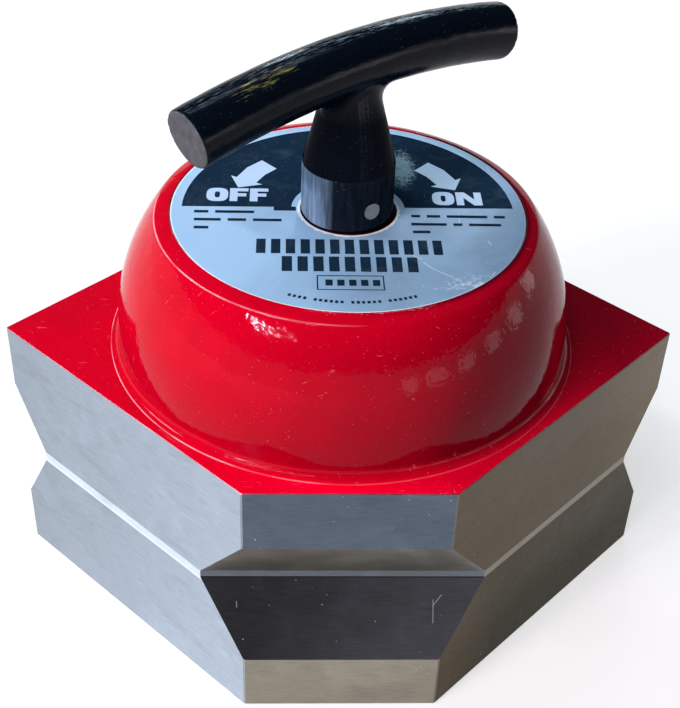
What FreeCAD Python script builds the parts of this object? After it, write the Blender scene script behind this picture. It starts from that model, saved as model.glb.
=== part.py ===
import FreeCAD, Part
import math
import os

# A switchable permanent-magnet holder: two ground steel pole blocks with V grooves, a thin
# non-magnetic plate between them, a red domed cover and a T handle that turns the magnet rotor.
# Millimetres, +Z up, origin in the middle of the resting face, -Y towards the front facet.

os.makedirs("parts", exist_ok=True)

# Pole blocks: a square stood on its corner, with its front and back corners cut to facets
block_height = 100.0
half_across_flats = 82.0
facet_reach = 83.0
spacer_thickness = 3.2
vee_half_height = 26.5
vee_half_angle = 60.0
edge_break = 0.4
facet_directions = (-90, 90)
grooved_flat_directions = (45, 135)

# Bore that takes the magnet works, and the floor under it
floor_thickness = 10.0
works_radius = 48.0
foot_ring_thickness = 6.0

# Magnet rotor
rotor_radius = 38.0
rotor_air_gap = 0.4
segment_thin_wall = 3.6
segment_gap_angle = 20.0
magnet_half_length = 24.0
magnet_width = 21.0
magnet_to_spindle = 0.5
end_plate_thickness = 4.0
top_plate_thickness = 5.0
plate_screw_spread = 10.0
plate_screw_radius = 2.0
plate_screw_head_radius = 4.0
plate_screw_length = 14.0

# Spindle, its bearings and keys
spindle_radius = 7.0
pivot_radius = 6.0
running_clearance = 0.04
bush_wall = 3.0
floor_under_bush = 3.0
pivot_end_play = 0.5
washer_radius = 20.0
washer_thickness = 1.4
axial_play = 0.15
key_width = 4.0
key_depth = 1.6
seal_cord_radius = 1.4
seal_clearance = 0.1

# Ninety-degree stop
throw_angle = 90.0
stop_pin_radius = 3.0
stop_pin_circle = 30.0
stop_pin_angle = 135.0
stop_pin_grip = 12.0
stop_clearance = 0.2

# Domed cover
dome_foot_radius = 79.6
dome_foot_step = 0.6
dome_radius = 76.5
dome_belly_height = 8.0
rim_radius = 62.7
rim_height = 47.9
rim_crown = 1.6
rim_edge_radius = 1.0
cavity_height = 28.0
cavity_clearance = 0.5
core_wall = 7.0
core_inner_radius = 59.0
core_roof = 14.0

# Label
label_radius = 57.9
label_shift = 0.5
label_clearance = 0.2
label_thickness = 0.8
label_below_rim = 0.5
label_hole_radius = 16.0

# T handle
boss_radius = 15.1
boss_lift = 0.2
boss_skirt_height = 18.0
boss_neck_radius = 6.6
bar_radius = 9.4
bar_half_length = 62.3
bar_shift = 0.8
bar_mid_height = 200.7
bar_end_drop = 6.6
bar_angle = 38.5
bar_blend_radius = 5.0
bar_end_round = 0.5
handle_bore_depth = 34.0
cross_pin_radius = 2.75
cross_pin_height = 7.0
cross_pin_angle = -60.5

# Fasteners
clamp_screw_radius = 4.0
clamp_head_radius = 6.5
clamp_head_height = 8.0
clamp_head_sunk = 2.0
clamp_corner_wall = 3.0
clamp_grip = 34.0
dome_screw_radius = 3.0
dome_head_radius = 5.0
dome_head_height = 6.0
dome_screw_circle = 52.0
dome_screw_grip = 14.0
hole_clearance = 0.2
tap_run_out = 3.0
socket_share = 0.5
socket_sides = 6
dowel_radius = 4.0
dowel_grip = 12.0
segment_key_radius = 2.5
segment_key_length = 28.0
segment_key_spread = 67.0
clamp_angles = (45, 135, 225, 315)
clamp_corner_angles = (0, 180)
dowel_angles = (90, 270)
dome_screw_angles = (0, 90, 180, 270)

# Levels and sizes that follow from the values above
half_diagonal = half_across_flats * math.sqrt(2)
facet_half_width = half_diagonal - facet_reach
lower_top = (block_height - spacer_thickness) / 2
upper_base = lower_top + spacer_thickness
middle = block_height / 2
vee_depth = (vee_half_height - spacer_thickness / 2) / math.tan(math.radians(vee_half_angle))
clamp_circle = (works_radius + half_across_flats - vee_depth) / 2
clamp_corner_inset = vee_depth + clamp_corner_wall + clamp_screw_radius
clamp_corner_circle = (half_across_flats - clamp_corner_inset) * math.sqrt(2)
dowel_circle = (works_radius + facet_reach - vee_depth) / 2
segment_inner_radius = rotor_radius + rotor_air_gap
segment_thin_radius = segment_inner_radius + segment_thin_wall
washer_top = floor_thickness + washer_thickness
rotor_base = washer_top + axial_play
magnet_base = rotor_base + end_plate_thickness
ceiling = block_height + cavity_height
top_washer_base = ceiling - washer_thickness
rotor_top = top_washer_base - axial_play
magnet_top = rotor_top - top_plate_thickness
rim_top = block_height + rim_height
crown_top = rim_top + rim_crown
label_top = crown_top - label_below_rim
recess_radius = label_radius + label_shift + label_clearance
label_seat = label_top - label_thickness
boss_base = label_top + boss_lift
skirt_top = boss_base + boss_skirt_height
bore_top = boss_base + handle_bore_depth
bush_radius = spindle_radius + bush_wall
seal_seat = label_seat - 2 * seal_cord_radius
pivot_bush_radius = pivot_radius + bush_wall

full_turn = 360.0
half_turn = full_turn / 2
UP = FreeCAD.Vector(0, 0, 1)
ORIGIN = FreeCAD.Vector(0, 0, 0)


def save(name, *solids):
    """Write one node: a single solid, or a group of separate ones."""
    shape = solids[0] if len(solids) == 1 else Part.makeCompound(list(solids))
    shape.exportStep("parts/" + name + ".step")


def polar(radius, angle, height=0.0):
    """The point at this radius, angle in degrees and height."""
    turn = math.radians(angle)
    return FreeCAD.Vector(radius * math.cos(turn), radius * math.sin(turn), height)


def cylinder(radius, low, high, place=ORIGIN):
    """An upright cylinder between two levels."""
    return Part.makeCylinder(radius, high - low, FreeCAD.Vector(place.x, place.y, low), UP)


def tube(inner, outer, low, high):
    """An upright tube on the main axis."""
    return cylinder(outer, low, high).cut(cylinder(inner, low, high))


def prism(corners, low, high):
    """A flat outline given by (x, y) corners, raised from one level to another."""
    points = [FreeCAD.Vector(x, y, low) for x, y in corners]
    face = Part.Face(Part.makePolygon(points + points[:1]))
    return face.extrude(UP * (high - low))


def turned(profile, start=0.0, sweep=full_turn):
    """A closed outline of (radius, level) points turned about the main axis."""
    points = [FreeCAD.Vector(r, 0, z) for r, z in profile]
    face = Part.Face(Part.makePolygon(points + points[:1]))
    face.rotate(ORIGIN, UP, start)
    return face.revolve(ORIGIN, UP, sweep)


def fused(pieces):
    """All the pieces joined to one solid, with the seams between flush faces removed."""
    first, *rest = pieces
    return first.multiFuse(rest).removeSplitter() if rest else first


def screw(radius, head_radius, head_height, seat, tip, place):
    """A socket-head screw. Its head stands on the seat level, away from the tip."""
    away = 1 if seat > tip else -1
    crown = seat + away * head_height
    sunk = crown - away * head_height * socket_share
    shank = cylinder(radius, min(seat, tip), max(seat, tip), place)
    head = cylinder(head_radius, min(seat, crown), max(seat, crown), place)
    step = full_turn / socket_sides
    corners = [
        polar(head_radius * socket_share, step * side) + place for side in range(socket_sides)
    ]
    socket = prism([(c.x, c.y) for c in corners], min(sunk, crown), max(sunk, crown))
    return shank.fuse(head).cut(socket)


def countersunk(place, face, inward):
    """A flat-headed plate screw, flush with the face and pointing along inward."""
    depth = plate_screw_head_radius - plate_screw_radius
    start = FreeCAD.Vector(place.x, place.y, face)
    axis = UP * inward
    head = Part.makeCone(plate_screw_head_radius, plate_screw_radius, depth, start, axis)
    shank = Part.makeCylinder(plate_screw_radius, plate_screw_length, start, axis)
    return head.fuse(shank)


# Plan outline of both blocks: sharp corners at the left and right, facets at front and back
outline = [
    (-half_diagonal, 0),
    (-facet_half_width, -facet_reach),
    (facet_half_width, -facet_reach),
    (half_diagonal, 0),
    (facet_half_width, facet_reach),
    (-facet_half_width, facet_reach),
]


def vee_cutter(direction, reach):
    """A V groove with a flat root, cut level across the face that looks in this direction."""
    beyond = reach + edge_break
    flare = edge_break * math.tan(math.radians(vee_half_angle))
    root = reach - vee_depth
    corners = [
        (beyond, middle - vee_half_height - flare),
        (beyond, middle + vee_half_height + flare),
        (root, upper_base),
        (root, lower_top),
    ]
    points = [FreeCAD.Vector(x, -half_diagonal, z) for x, z in corners]
    groove = Part.Face(Part.makePolygon(points + points[:1]))
    groove = groove.extrude(FreeCAD.Vector(0, 2 * half_diagonal, 0))
    groove.rotate(ORIGIN, UP, direction)
    return groove


# The two long front faces stay flat; every other side is grooved
vee_cutters = [vee_cutter(direction, facet_reach) for direction in facet_directions]
vee_cutters += [vee_cutter(direction, half_across_flats) for direction in grooved_flat_directions]


def grooved(low, high):
    """A slice of the block outline with the V grooves cut in it."""
    return prism(outline, low, high).cut(Part.makeCompound(vee_cutters))


def with_broken_edges(block, level):
    """Break the sharp edges round one end face, and the upright edges that meet it."""
    def at_end(edge):
        return all(abs(vertex.Z - level) < edge_break for vertex in edge.Vertexes)

    def upright(edge):
        box = edge.BoundBox
        touches = min(abs(box.ZMin - level), abs(box.ZMax - level)) < edge_break
        return touches and box.ZLength > edge_break and box.XLength + box.YLength < edge_break

    picked = [edge for edge in block.Edges if at_end(edge) or upright(edge)]
    return block.makeChamfer(edge_break, picked)


# Places of the fasteners that hold the blocks together
clamp_places = [polar(clamp_circle, angle) for angle in clamp_angles]
clamp_places += [polar(clamp_corner_circle, angle) for angle in clamp_corner_angles]
dowel_places = [polar(dowel_circle, angle) for angle in dowel_angles]
dome_screw_places = [polar(dome_screw_circle, angle) for angle in dome_screw_angles]

clamp_seat = clamp_head_sunk + clamp_head_height
clamp_tip = upper_base + clamp_grip
dowel_low = lower_top - dowel_grip
dowel_high = upper_base + dowel_grip
dome_head_seat = label_seat - dome_head_height
dome_screw_tip = block_height - dome_screw_grip

# Round keys on the joint line between each block and its own pole segment
upper_key_places = [polar(works_radius, side * segment_key_spread) for side in (-1, 1)]
lower_key_places = [
    polar(works_radius, half_turn + side * segment_key_spread) for side in (-1, 1)
]
upper_keys = [
    cylinder(segment_key_radius, block_height - segment_key_length, block_height, place)
    for place in upper_key_places
]
lower_keys = [
    cylinder(segment_key_radius, lower_top - segment_key_length, lower_top, place)
    for place in lower_key_places
]
save("segment_keys", *upper_keys, *lower_keys)


def lower_pole_block():
    """The bottom block: blind works bore, pivot seat and counterbored screw holes."""
    block = with_broken_edges(grooved(0, lower_top), 0)
    holes = [
        cylinder(works_radius, floor_thickness, lower_top),
        cylinder(pivot_bush_radius, floor_under_bush, floor_thickness),
    ]
    for place in clamp_places:
        holes.append(cylinder(clamp_screw_radius + hole_clearance, 0, lower_top, place))
        holes.append(cylinder(clamp_head_radius + hole_clearance, 0, clamp_seat, place))
    holes += [cylinder(dowel_radius, dowel_low, lower_top, place) for place in dowel_places]
    return block.cut(holes + lower_keys)


def upper_pole_block():
    """The top block: works bore right through, tapped holes from below and from above."""
    block = with_broken_edges(grooved(upper_base, block_height), block_height)
    holes = [cylinder(works_radius, upper_base, block_height)]
    for place in clamp_places:
        holes.append(cylinder(clamp_screw_radius, upper_base, clamp_tip + tap_run_out, place))
    for place in dome_screw_places:
        holes.append(cylinder(dome_screw_radius, dome_screw_tip - tap_run_out, block_height, place))
    holes += [cylinder(dowel_radius, upper_base, dowel_high, place) for place in dowel_places]
    return block.cut(holes + upper_keys)


def spacer_plate():
    """The non-magnetic plate that keeps the two poles apart and shows as a bright line."""
    plate = grooved(lower_top, upper_base)
    holes = [cylinder(works_radius, lower_top, upper_base)]
    for place in clamp_places:
        holes.append(cylinder(clamp_screw_radius + hole_clearance, lower_top, upper_base, place))
    holes += [cylinder(dowel_radius, lower_top, upper_base, place) for place in dowel_places]
    return plate.cut(holes)


save("lower_pole_block", lower_pole_block())
save("upper_pole_block", upper_pole_block())
save("spacer_plate", spacer_plate())
save("locating_dowels", *[cylinder(dowel_radius, dowel_low, dowel_high, p) for p in dowel_places])
save("clamp_screws", *[
    screw(clamp_screw_radius, clamp_head_radius, clamp_head_height, clamp_seat, clamp_tip, place)
    for place in clamp_places
])

# Fixed pole segments: each is full-bore in its own block and thin where it passes the other
segment_sweep = half_turn - segment_gap_angle
upper_segment_start = -segment_sweep / 2
lower_segment_start = half_turn - segment_sweep / 2
segment_foot = floor_thickness + foot_ring_thickness

upper_segment = turned([
    (segment_inner_radius, segment_foot),
    (segment_thin_radius, segment_foot),
    (segment_thin_radius, upper_base),
    (works_radius, upper_base),
    (works_radius, block_height),
    (segment_thin_radius, block_height),
    (segment_thin_radius, rotor_top),
    (segment_inner_radius, rotor_top),
], upper_segment_start, segment_sweep)
save("upper_pole_segment", upper_segment.cut(upper_keys))

lower_segment = turned([
    (segment_inner_radius, floor_thickness),
    (works_radius, floor_thickness),
    (works_radius, lower_top),
    (segment_thin_radius, lower_top),
    (segment_thin_radius, rotor_top),
    (segment_inner_radius, rotor_top),
], lower_segment_start, segment_sweep)
save("lower_pole_segment", lower_segment.cut(lower_keys))

# Non-magnetic half sleeves and packers that fill what the segments leave in the bore
save("lower_isolating_sleeve", turned([
    (segment_inner_radius, floor_thickness),
    (works_radius, floor_thickness),
    (works_radius, upper_base),
    (segment_thin_radius, upper_base),
    (segment_thin_radius, segment_foot),
    (segment_inner_radius, segment_foot),
], upper_segment_start, segment_sweep))

save("upper_isolating_sleeve", turned([
    (segment_thin_radius, lower_top),
    (works_radius, lower_top),
    (works_radius, block_height),
    (segment_thin_radius, block_height),
], lower_segment_start, segment_sweep))

packers = [
    turned([
        (segment_inner_radius, floor_thickness),
        (works_radius, floor_thickness),
        (works_radius, block_height),
        (segment_thin_radius, block_height),
        (segment_thin_radius, rotor_top),
        (segment_inner_radius, rotor_top),
    ], side - segment_gap_angle / 2, segment_gap_angle)
    for side in dowel_angles
]
save("pole_packers", *packers)

# Magnet rotor: two magnets between two soft-iron shoes, filled out round with side cheeks
magnet_near = spindle_radius + magnet_to_spindle
magnet_far = magnet_near + magnet_width
rotor_core = cylinder(rotor_radius, magnet_base, magnet_top)


def upright_box(x_low, x_high, y_low, y_high, low, high):
    """A box given by its limits."""
    corners = [(x_low, y_low), (x_high, y_low), (x_high, y_high), (x_low, y_high)]
    return prism(corners, low, high)


def rotor_magnet(side):
    """One straight magnet bar beside the spindle."""
    near, far = sorted((side * magnet_near, side * magnet_far))
    return upright_box(-magnet_half_length, magnet_half_length, near, far, magnet_base, magnet_top)


def rotor_shoe(side):
    """The round-backed shoe on one pole end of the magnets."""
    near, far = sorted((side * magnet_half_length, side * rotor_radius))
    return upright_box(near, far, -rotor_radius, rotor_radius, magnet_base, magnet_top).common(rotor_core)


def rotor_cheek(side):
    """The round-backed filler along one outer magnet face."""
    near, far = sorted((side * magnet_far, side * rotor_radius))
    slab = upright_box(-magnet_half_length, magnet_half_length, near, far, magnet_base, magnet_top)
    return slab.common(rotor_core)


shoe_depth = rotor_radius - magnet_half_length
plate_screw_places = [
    FreeCAD.Vector(x * (magnet_half_length + shoe_depth / 2), y * plate_screw_spread, 0)
    for x in (-1, 1) for y in (-1, 1)
]
top_plate_screws = [countersunk(place, rotor_top, -1) for place in plate_screw_places]
bottom_plate_screws = [countersunk(place, rotor_base, 1) for place in plate_screw_places]
plate_screws = top_plate_screws + bottom_plate_screws

save("rotor_magnets", rotor_magnet(-1), rotor_magnet(1))
save("rotor_shoe_north", rotor_shoe(1).cut(plate_screws))
save("rotor_shoe_south", rotor_shoe(-1).cut(plate_screws))
save("rotor_cheeks", rotor_cheek(-1), rotor_cheek(1))
save("rotor_plate_screws", *plate_screws)

# Square keys sunk half in the spindle and half in each end plate
key_reach = spindle_radius + key_depth
key_root = spindle_radius - key_depth


def spindle_key(low, high):
    """The key between the spindle and one end plate."""
    return upright_box(-key_reach, -key_root, -key_width / 2, key_width / 2, low, high)


top_key = spindle_key(magnet_top, rotor_top)
bottom_key = spindle_key(rotor_base, magnet_base)
save("spindle_keys", top_key, bottom_key)


def stop_slot():
    """The arc slot in the top plate that gives the throw on the fixed stop pin."""
    inner = stop_pin_circle - stop_pin_radius - stop_clearance
    outer = stop_pin_circle + stop_pin_radius + stop_clearance
    end_radius = stop_pin_radius + stop_clearance
    arc = turned([
        (inner, magnet_top),
        (outer, magnet_top),
        (outer, rotor_top),
        (inner, rotor_top),
    ], stop_pin_angle - throw_angle, throw_angle)
    ends = [
        cylinder(end_radius, magnet_top, rotor_top, polar(stop_pin_circle, angle))
        for angle in (stop_pin_angle - throw_angle, stop_pin_angle)
    ]
    return fused([arc] + ends)


top_plate = tube(spindle_radius, rotor_radius, magnet_top, rotor_top)
save("rotor_top_plate", top_plate.cut([stop_slot(), top_key] + top_plate_screws))
bottom_plate = tube(spindle_radius, rotor_radius, rotor_base, magnet_base)
save("rotor_bottom_plate", bottom_plate.cut([bottom_key] + bottom_plate_screws))

# Bearings: the pivot turns in the floor bush, the spindle in the bush in the dome
pivot_base = floor_under_bush + pivot_end_play
save("lower_bush", tube(
    pivot_radius + running_clearance, pivot_bush_radius, floor_under_bush, floor_thickness))
save("upper_bush", tube(spindle_radius + running_clearance, bush_radius, ceiling, seal_seat))
save("lower_thrust_washer", tube(
    pivot_radius + running_clearance, washer_radius, floor_thickness, washer_top))
save("upper_thrust_washer", tube(
    spindle_radius + running_clearance, washer_radius, top_washer_base, ceiling))

seal_ring_radius = spindle_radius + seal_clearance + seal_cord_radius
seal_place = FreeCAD.Vector(0, 0, seal_seat + seal_cord_radius)
save("spindle_seal", Part.makeTorus(seal_ring_radius, seal_cord_radius, seal_place, UP))

stop_pin_place = polar(stop_pin_circle, stop_pin_angle)
stop_pin = cylinder(
    stop_pin_radius, magnet_top + stop_clearance, ceiling + stop_pin_grip, stop_pin_place)
save("stop_pin", stop_pin)


def dome_side():
    """The outer wall as wires: foot step, small hollow, upright belly and one long arc."""
    hollow = dome_foot_radius - dome_radius
    belly_base = block_height + dome_foot_step + hollow
    belly_top = block_height + dome_belly_height
    rise = rim_top - belly_top
    draw_in = dome_radius - rim_radius
    arc_radius = (draw_in ** 2 + rise ** 2) / (2 * draw_in)
    half_sweep = math.asin(rise / arc_radius) / 2
    arc_middle = FreeCAD.Vector(
        dome_radius - arc_radius * (1 - math.cos(half_sweep)),
        0,
        belly_top + arc_radius * math.sin(half_sweep))
    hollow_middle = FreeCAD.Vector(
        dome_foot_radius - hollow * math.sin(math.pi / 4),
        0,
        belly_base - hollow * math.sin(math.pi / 4))
    foot = FreeCAD.Vector(dome_foot_radius, 0, block_height)
    step = FreeCAD.Vector(dome_foot_radius, 0, block_height + dome_foot_step)
    low = FreeCAD.Vector(dome_radius, 0, belly_base)
    high = FreeCAD.Vector(dome_radius, 0, belly_top)
    rim = FreeCAD.Vector(rim_radius, 0, rim_top)
    return [
        Part.makeLine(foot, step),
        Part.Arc(step, hollow_middle, low).toShape(),
        Part.makeLine(low, high),
        Part.Arc(high, arc_middle, rim).toShape(),
    ]


def dome_cover():
    """The domed casting: label recess, rotor cavity, cored ring, bush and screw holes."""
    top_points = [
        FreeCAD.Vector(rim_radius, 0, rim_top),
        FreeCAD.Vector(recess_radius, 0, crown_top),
        FreeCAD.Vector(recess_radius, 0, label_seat),
        FreeCAD.Vector(0, 0, label_seat),
        FreeCAD.Vector(0, 0, block_height),
        FreeCAD.Vector(dome_foot_radius, 0, block_height),
    ]
    edges = dome_side()
    edges += [Part.makeLine(a, b) for a, b in zip(top_points, top_points[1:])]
    face = Part.Face(Part.Wire(Part.__sortEdges__(edges)))
    shell = face.revolve(ORIGIN, UP, full_turn)
    rim_edges = [
        edge for edge in shell.Edges
        if abs(edge.BoundBox.ZMin - rim_top) < edge_break
        and abs(edge.BoundBox.XMax - rim_radius) < edge_break
    ]
    shell = shell.makeFillet(rim_edge_radius, rim_edges)
    core_outer = dome_radius - core_wall
    core_top = rim_top - core_roof
    core_taper = core_outer - rim_radius + core_wall
    core = turned([
        (core_inner_radius, block_height),
        (core_outer, block_height),
        (core_outer, block_height + dome_belly_height),
        (core_outer - core_taper / 2, core_top),
        (core_inner_radius, core_top),
    ])
    holes = [
        core,
        cylinder(segment_thin_radius + cavity_clearance, block_height, ceiling),
        cylinder(bush_radius, ceiling, label_seat),
        stop_pin,
    ]
    for place in dome_screw_places:
        bore = dome_screw_radius + hole_clearance
        counterbore = dome_head_radius + hole_clearance
        holes.append(cylinder(bore, block_height, label_seat, place))
        holes.append(cylinder(counterbore, dome_head_seat, label_seat, place))
    return shell.cut(holes)


save("dome_cover", dome_cover())
save("dome_screws", *[
    screw(dome_screw_radius, dome_head_radius, dome_head_height, dome_head_seat, dome_screw_tip, place)
    for place in dome_screw_places
])
label = tube(label_hole_radius, label_radius, label_seat, label_top)
save("label_disc", label.translated(FreeCAD.Vector(label_shift, 0, 0)))

# T handle: an arched round bar on a tapered boss, blended together and bored for the spindle
cross_pin_direction = polar(1.0, cross_pin_angle)
cross_pin_middle = FreeCAD.Vector(0, 0, boss_base + cross_pin_height)
cross_pin_start = cross_pin_middle - cross_pin_direction * boss_radius
cross_pin_blank = Part.makeCylinder(
    cross_pin_radius, 2 * boss_radius, cross_pin_start, cross_pin_direction)
across = FreeCAD.Vector(0, 1, 0)
along = FreeCAD.Vector(1, 0, 0)


def handle_bar():
    """A round bar along X, bent to a shallow arch, with its end edges just rounded."""
    bend_radius = (bar_half_length ** 2 + bar_end_drop ** 2) / (2 * bar_end_drop)
    bend_centre = UP * (bar_mid_height - bend_radius)
    half_bend = math.degrees(math.asin(bar_half_length / bend_radius))
    section = Part.Face(Part.Wire(Part.makeCircle(bar_radius, UP * bar_mid_height, along)))
    section.rotate(bend_centre, across, -half_bend)
    bar = section.revolve(bend_centre, across, 2 * half_bend)
    end_edges = [
        edge for edge in bar.Edges
        if isinstance(edge.Curve, Part.Circle) and abs(edge.Curve.Radius - bar_radius) < edge_break
    ]
    return bar.makeFillet(bar_end_round, end_edges).translated(along * bar_shift)


def handle():
    """The whole handle with its bore and cross hole."""
    boss = turned([
        (0, boss_base),
        (boss_radius, boss_base),
        (boss_radius, skirt_top),
        (boss_neck_radius, bar_mid_height),
        (0, bar_mid_height),
    ])
    body = handle_bar().fuse(boss)
    joint_edges = [
        edge for edge in body.Edges
        if edge.BoundBox.ZMin > skirt_top + edge_break
        and edge.BoundBox.ZMax < bar_mid_height
        and edge.BoundBox.DiagonalLength < 2 * boss_radius
        and edge.Curve.TypeId != "Part::GeomCircle"
    ]
    body = body.makeFillet(bar_blend_radius, joint_edges)
    body.rotate(ORIGIN, UP, bar_angle)
    return body.cut([cylinder(spindle_radius, boss_base, bore_top), cross_pin_blank])


save("handle", handle())
save("handle_cross_pin", cross_pin_blank.common(cylinder(boss_radius, boss_base, skirt_top)))


def spindle():
    """The full-length spindle: pivot, keyed middle and the pinned end in the handle."""
    shaft = cylinder(pivot_radius, pivot_base, rotor_base)
    shaft = fused([shaft, cylinder(spindle_radius, rotor_base, bore_top)])
    return shaft.cut([top_key, bottom_key, cross_pin_blank])


save("spindle", spindle())
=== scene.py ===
# %% [markdown]
# # A switchable magnetic holder
# The object stands on a floor: two ground steel pole blocks with V grooves, a bright strip
# between them, a domed casting in thick red enamel, a printed metal plate let into its top
# and a cast T handle in black enamel. The CAD model already holds every solid in its real
# place, so this lesson opens it and works on the skin: paint, print, grinding and wear.

# %% Open the CAD frame
import math

import bmesh
import bpy
from mathutils import Matrix, Vector, noise


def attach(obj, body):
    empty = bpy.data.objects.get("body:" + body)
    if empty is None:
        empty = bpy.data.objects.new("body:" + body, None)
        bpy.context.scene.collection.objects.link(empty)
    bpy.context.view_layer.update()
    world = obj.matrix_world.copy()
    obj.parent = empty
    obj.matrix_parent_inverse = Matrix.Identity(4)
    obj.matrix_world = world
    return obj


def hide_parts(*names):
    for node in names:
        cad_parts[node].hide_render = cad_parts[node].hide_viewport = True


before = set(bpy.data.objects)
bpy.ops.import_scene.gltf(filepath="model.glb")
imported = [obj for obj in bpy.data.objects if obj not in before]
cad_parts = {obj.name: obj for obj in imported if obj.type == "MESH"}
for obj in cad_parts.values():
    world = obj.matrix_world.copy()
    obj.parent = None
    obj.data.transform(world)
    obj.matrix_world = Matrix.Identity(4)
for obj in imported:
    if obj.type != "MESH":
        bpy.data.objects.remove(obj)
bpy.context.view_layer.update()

MM = 0.001

# %% [markdown]
# ## The camera
# A likeness starts with the point of view. The lens stood about half a metre from the object
# and looked down on it by 39 degrees, turned a little to the right, with a slight tilt of the
# horizon. The matrix is built from those three angles: the view direction first, then right
# and up turned about it by the tilt.

# %% Place the camera
YAW, PITCH, TILT = 0.0545, -0.6812, 0.0411
EYE = (-0.02124, -0.3826, 0.38162)
SENSOR_WIDTH, FOCAL_LENGTH, SHIFT_X, SHIFT_Y = 36, 69.27, 0.0028, 0.0579

look = Vector((math.sin(YAW) * math.cos(PITCH), math.cos(YAW) * math.cos(PITCH), math.sin(PITCH)))
level_right = Vector((math.cos(YAW), -math.sin(YAW), 0))
level_up = level_right.cross(look)
right = level_right * math.cos(TILT) + level_up * math.sin(TILT)
up = level_up * math.cos(TILT) - level_right * math.sin(TILT)

lens = bpy.data.cameras.new("photo_camera")
lens.sensor_width = SENSOR_WIDTH
lens.lens = FOCAL_LENGTH
lens.shift_x, lens.shift_y = SHIFT_X, SHIFT_Y
camera = bpy.data.objects.new("photo_camera", lens)
turned_eye = Matrix((right, up, -look)).transposed().to_4x4()
camera.matrix_world = Matrix.Translation(EYE) @ turned_eye
bpy.context.scene.collection.objects.link(camera)
bpy.context.scene.camera = camera
print("camera looks along", [round(v, 3) for v in look])

# %% [markdown]
# ## A short way to write node materials
# Every finish here is a small graph of shader nodes. Wiring them one by one takes many lines,
# so one helper adds a node and fills its inputs: an input that is given another node's
# output is linked, and any other value is written on the socket itself.

# %% Node helpers
def add(finish, kind, inputs=None, **settings):
    """Add a node to a finish, with its settings, and link or set its inputs."""
    made = finish.node_tree.nodes.new("ShaderNode" + kind)
    for key, value in settings.items():
        setattr(made, key, value)
    for key, value in (inputs or {}).items():
        if isinstance(value, bpy.types.NodeSocket):
            finish.node_tree.links.new(value, made.inputs[key])
        else:
            made.inputs[key].default_value = value
    return made


def new_finish(name, **sockets):
    """A material with one Principled shader; sockets are named with _ for each space."""
    finish = bpy.data.materials.new(name)
    finish.use_nodes = True
    skin = finish.node_tree.nodes["Principled BSDF"]
    for key, value in sockets.items():
        skin.inputs[key.replace("_", " ").title().replace("Ior", "IOR")].default_value = value
    return finish, skin


def plug(finish, output, socket):
    """Link an output to a socket."""
    finish.node_tree.links.new(output, socket)


def place_mm(finish, scale=(1, 1, 1), turn=(0, 0, 0)):
    """Object coordinates in millimetres, stretched and turned as asked."""
    source = add(finish, "TexCoord")
    stretched = tuple(s / MM for s in scale)
    mapped = add(finish, "Mapping", {"Vector": source.outputs["Object"], "Scale": stretched,
                                     "Rotation": turn})
    return mapped.outputs["Vector"]


def distance_to(finish, where, spot, kept=(1, 1, 0)):
    """How far a place is from a spot, with only the kept axes counted."""
    away = add(finish, "VectorMath", {0: where, 1: spot}, operation="SUBTRACT").outputs[0]
    flat = add(finish, "VectorMath", {0: away, 1: kept}, operation="MULTIPLY").outputs[0]
    return add(finish, "VectorMath", {0: flat}, operation="LENGTH").outputs["Value"]


def clouds(finish, where, scale, detail=3.0, rough=0.5, warp=0.0):
    """A noise value; scale is in waves per millimetre."""
    made = add(finish, "TexNoise", {"Vector": where, "Scale": scale, "Detail": detail,
                                    "Roughness": rough, "Distortion": warp})
    return made.outputs["Fac"]


def steps(finish, value, *stops):
    """A colour ramp from (position, colour) stops; a single number is a grey."""
    ramp = add(finish, "ValToRGB", {"Fac": value})
    band = ramp.color_ramp
    while len(band.elements) < len(stops):
        band.elements.new(0.5)
    for element, (position, colour) in zip(band.elements, stops):
        element.position = position
        element.color = (colour,) * 3 + (1,) if isinstance(colour, (int, float)) else (*colour, 1)
    return ramp.outputs["Color"]


def blend(finish, share, first, second, kind="MIX"):
    """Mix two colours by a share; kind is a blend type."""
    made = add(finish, "Mix", data_type="RGBA", blend_type=kind)
    for index, value in ((0, share), (6, first), (7, second)):
        if isinstance(value, bpy.types.NodeSocket):
            plug(finish, value, made.inputs[index])
        elif index:
            made.inputs[index].default_value = (*value, 1)
        else:
            made.inputs[index].default_value = value
    return made.outputs[2]


def maths(finish, kind, first, second=0.0, third=0.0):
    """One step of arithmetic on values."""
    made = add(finish, "Math", operation=kind)
    for index, value in enumerate((first, second, third)):
        if isinstance(value, bpy.types.NodeSocket):
            plug(finish, value, made.inputs[index])
        else:
            made.inputs[index].default_value = value
    return made.outputs[0]


def span(finish, value, low, high, to_low=0.0, to_high=1.0):
    """Stretch a value from one range to another, clamped."""
    made = add(finish, "MapRange", {"Value": value, "From Min": low, "From Max": high,
                                    "To Min": to_low, "To Max": to_high})
    return made.outputs["Result"]


def relief(finish, skin, height, depth_mm, strength=1.0):
    """Turn a value into bump of this depth, and give the bent normal back."""
    made = add(finish, "Bump", {"Height": height, "Distance": depth_mm * MM, "Strength": strength})
    plug(finish, made.outputs["Normal"], skin.inputs["Normal"])
    return made.outputs["Normal"]


print("helpers ready")

# %% [markdown]
# ## Pieces made with bmesh
# New skins are drawn as a half outline in millimetres, radius across and height up, with a
# pen that goes straight or round an arc, and then spun about the upright axis. The spin
# closes on itself, doubles are merged, and normals are made to point out.

# %% Mesh helpers
def start_pen(radius, height):
    """A new mesh with the first point of a half outline."""
    bm = bmesh.new()
    return bm, bm.verts.new((radius * MM, 0, height * MM))


def line_to(bm, point, radius, height):
    """Draw straight to the next point of the outline."""
    moved = bmesh.ops.extrude_vert_indiv(bm, verts=[point])["verts"][0]
    moved.co = (radius * MM, 0, height * MM)
    return moved


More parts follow.
